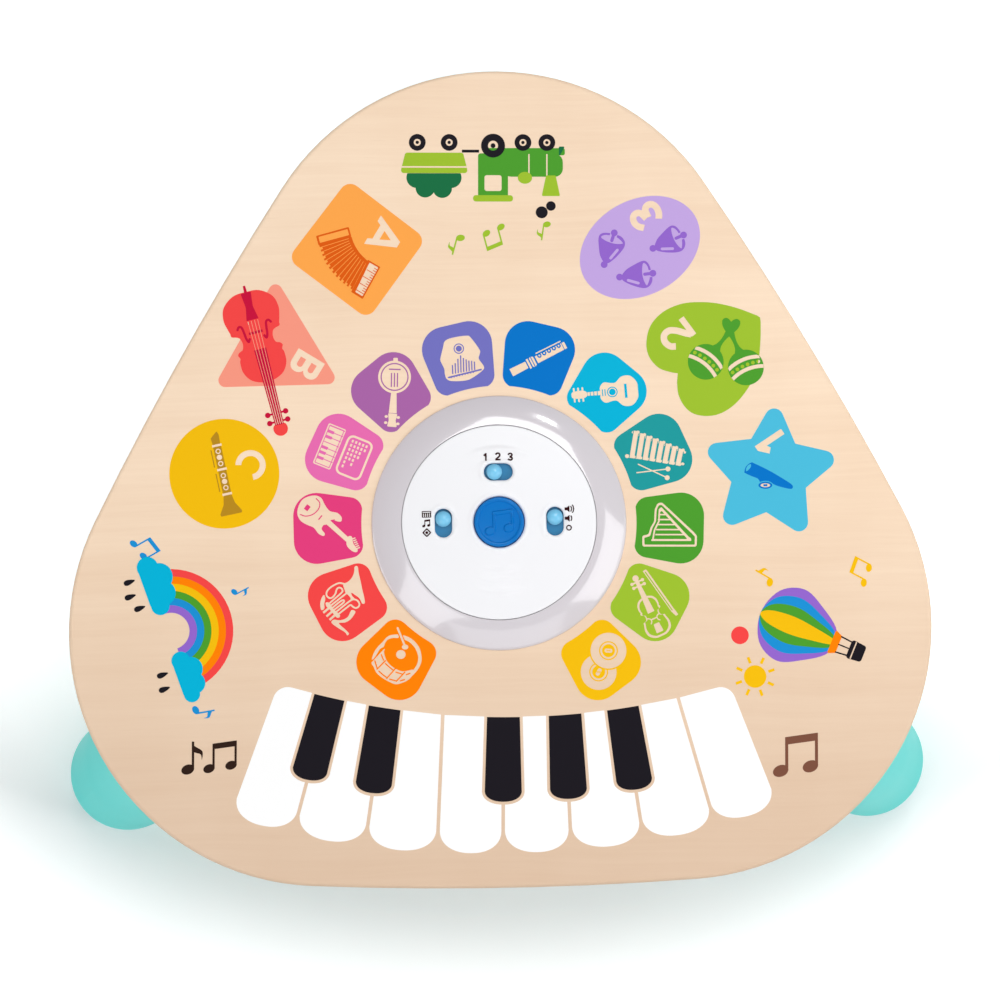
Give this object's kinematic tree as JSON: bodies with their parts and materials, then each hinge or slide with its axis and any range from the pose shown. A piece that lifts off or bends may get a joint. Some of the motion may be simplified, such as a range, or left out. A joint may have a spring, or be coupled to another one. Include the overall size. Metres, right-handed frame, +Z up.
{
  "type": "musical activity table",
  "caption": "Low toddler's activity table: rounded-triangle wooden touch top with printed piano keys and tiles, central control dial, and splayed rounded legs.",
  "frame": {"origin": "bottom centre of the table's box, on the floor under the middle of the three feet's and the top's extent", "axes": "+Z up; -Y is the keyboard side, where the child stands; +X to the right seen from there"},
  "size_m": [0.4926, 0.4566, 0.3182],
  "materials": {
    "printed_plywood": "clear matt lacquer over printed birch plywood",
    "bent_plywood": "clear matt lacquer",
    "base_plywood": "clear matt lacquer",
    "glue_block_wood": "raw",
    "teal_plastic": "soft satin",
    "pad_rubber": "matt",
    "pearl_plastic": "pearl gloss",
    "white_plastic": "gloss",
    "inner_plastic": "matt",
    "blue_plastic": "gloss",
    "pale_blue_plastic": "gloss",
    "silicone": "matt",
    "zinc_steel": "bright zinc",
    "insert_brass": "bright",
    "circuit_board": "solder mask",
    "component_plastic": "moulded",
    "clear_film": "translucent film",
    "copper_print": "printed conductive ink",
    "foam_rubber": "closed-cell foam",
    "cone_paper": "pressed paper",
    "magnet_iron": "ferrite",
    "cell_jacket": "printed steel jacket",
    "door_plastic": "fine texture",
    "lead_jacket": "soft insulation"
  },
  "bodies": {
    "root": {"base_board": "base_plywood", "base_screws": "zinc_steel", "battery_box": "inner_plastic", "battery_box_screws": "zinc_steel", "battery_front": "cell_jacket", "battery_lead": "lead_jacket", "battery_middle": "cell_jacket", "battery_rear": "cell_jacket", "bezel_ring": "pearl_plastic", "board_standoffs": "component_plastic", "button_dome": "silicone", "contact_plates": "zinc_steel", "contact_springs": "zinc_steel", "control_board": "circuit_board", "control_board_parts": "component_plastic", "control_board_screws": "zinc_steel", "corner_block_back": "glue_block_wood", "corner_block_left": "glue_block_wood", "corner_block_right": "glue_block_wood", "dial_cover": "white_plastic", "dial_lead": "lead_jacket", "dial_tray": "inner_plastic", "foot_pad_back": "pad_rubber", "foot_pad_left": "pad_rubber", "foot_pad_right": "pad_rubber", "key_electrodes": "copper_print", "leg_back": "teal_plastic", "leg_left": "teal_plastic", "leg_right": "teal_plastic", "leg_screws": "zinc_steel", "main_board": "circuit_board", "main_board_parts": "component_plastic", "main_board_screws": "zinc_steel", "sensor_film": "clear_film", "sensor_ribbon": "clear_film", "shape_electrodes": "copper_print", "side_frame": "bent_plywood", "slide_switches": "component_plastic", "speaker_basket": "zinc_steel", "speaker_cone": "cone_paper", "speaker_gasket": "foam_rubber", "speaker_lead": "lead_jacket", "speaker_magnet": "magnet_iron", "speaker_screws": "zinc_steel", "threaded_inserts": "insert_brass", "tile_electrodes": "copper_print", "top_board": "printed_plywood", "tray_screws": "zinc_steel"},
    "play_button": {"play_button": "blue_plastic"},
    "language_slider": {"language_knob": "pale_blue_plastic", "language_lever": "component_plastic"},
    "mode_slider": {"mode_knob": "pale_blue_plastic", "mode_lever": "component_plastic"},
    "volume_slider": {"volume_knob": "pale_blue_plastic", "volume_lever": "component_plastic"},
    "battery_door": {"battery_door": "door_plastic"},
    "door_screw_left": {"door_screw_left": "zinc_steel"},
    "door_screw_right": {"door_screw_right": "zinc_steel"}
  },
  "joints": [
    {"name": "play_button_press", "type": "slide", "parent": "root", "child": "play_button", "axis": [0, 0, -1], "range_m": [0, 0.0015], "stiffness_N_per_m": 400, "springref_m": -0.0005, "deforming": ["button_dome"]},
    {"name": "language_slide", "type": "slide", "parent": "root", "child": "language_slider", "axis": [1, 0, 0], "range_m": [0, 0.004]},
    {"name": "mode_slide", "type": "slide", "parent": "root", "child": "mode_slider", "axis": [0, -1, 0], "range_m": [0, 0.004]},
    {"name": "volume_slide", "type": "slide", "parent": "root", "child": "volume_slider", "axis": [0, -1, 0], "range_m": [0, 0.004]},
    {"name": "battery_door_lift", "type": "slide", "parent": "root", "child": "battery_door", "axis": [0, 0, -1], "range_m": [0, 0.03]},
    {"name": "door_screw_left_turn", "type": "hinge", "parent": "battery_door", "child": "door_screw_left", "pos_m": [-0.0337, -0.16303, 0.27], "axis": [0, 0, -1], "continuous": true},
    {"name": "door_screw_right_turn", "type": "hinge", "parent": "battery_door", "child": "door_screw_right", "pos_m": [0.0337, -0.16303, 0.27], "axis": [0, 0, -1], "continuous": true}
  ]
}
